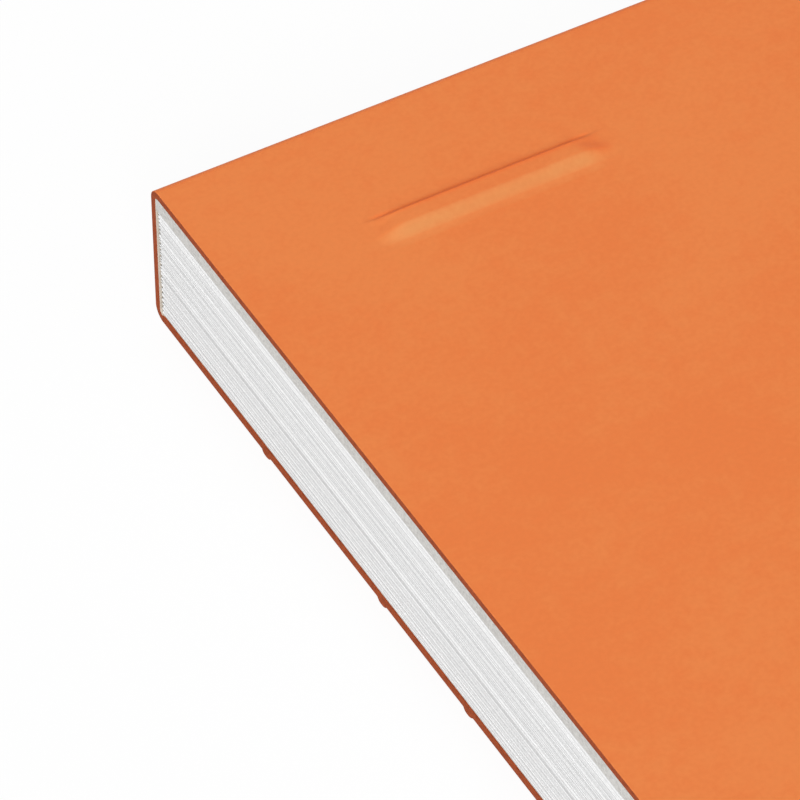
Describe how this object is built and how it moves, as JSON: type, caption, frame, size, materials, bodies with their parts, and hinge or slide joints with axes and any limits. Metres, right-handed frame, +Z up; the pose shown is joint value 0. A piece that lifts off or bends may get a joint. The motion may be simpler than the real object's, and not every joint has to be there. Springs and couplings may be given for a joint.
{
  "type": "notepad",
  "caption": "Head-stapled pocket notepad: a coated card cover wraps the backing board and the head, and its scored front opens over the head.",
  "frame": {"origin": "middle of the pad's underside, at the height of the bead tips that it stands on", "axes": "+X across the width, +Y along the length towards the head, +Z up, out of the back cover"},
  "size_m": [0.105, 0.148, 0.0102],
  "materials": {
    "orange_card": "satin",
    "grey_board": "matte",
    "white_sheets": "matte",
    "staple_wire": "satin"
  },
  "bodies": {
    "pad": {"back_cover": "orange_card", "backing_board": "grey_board", "page_block": "white_sheets", "staple_left": "staple_wire", "staple_right": "staple_wire"},
    "flap": {"front_cover": "orange_card"}
  },
  "joints": [
    {"name": "cover_hinge", "type": "hinge", "parent": "pad", "child": "flap", "pos_m": [0, 0.06165, 0], "axis": [1, 0, 0], "range_deg": [0, 179.9]}
  ]
}
